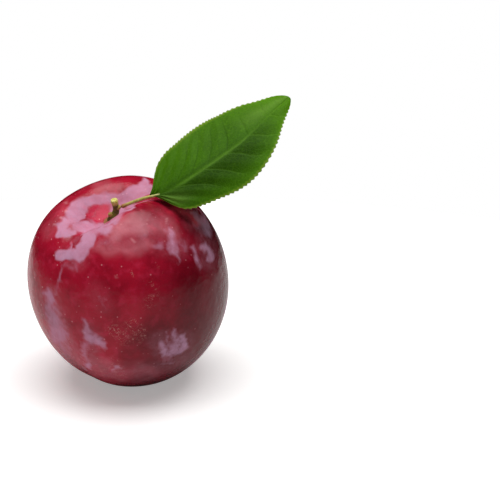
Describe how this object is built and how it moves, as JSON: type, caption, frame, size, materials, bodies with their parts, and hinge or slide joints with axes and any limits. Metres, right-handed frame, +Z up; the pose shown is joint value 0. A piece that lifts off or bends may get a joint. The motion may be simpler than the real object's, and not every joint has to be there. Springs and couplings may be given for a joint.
{
  "type": "plum",
  "caption": "Ripe red plum as picked, with its stem cavity and suture, a short stalk and a toothed leaf; it rests on a small flat spot.",
  "frame": {"origin": "centre of the small flat spot that the fruit rests on", "axes": "+Z up from the flat spot, +X towards the side that the leaf grows to, -Y towards the side with the higher rim"},
  "size_m": [0.079, 0.0601, 0.0857],
  "materials": {
    "skin": "smooth waxy plum skin, red with a lavender bloom rubbed off in patches",
    "stalk": "olive green bark with a yellow green picked end",
    "leaf": "green leaf, soft sheen on the upper face and pale below"
  },
  "bodies": {
    "root": {"fruit": "skin", "stalk": "stalk", "leaf": "leaf"}
  },
  "joints": []
}
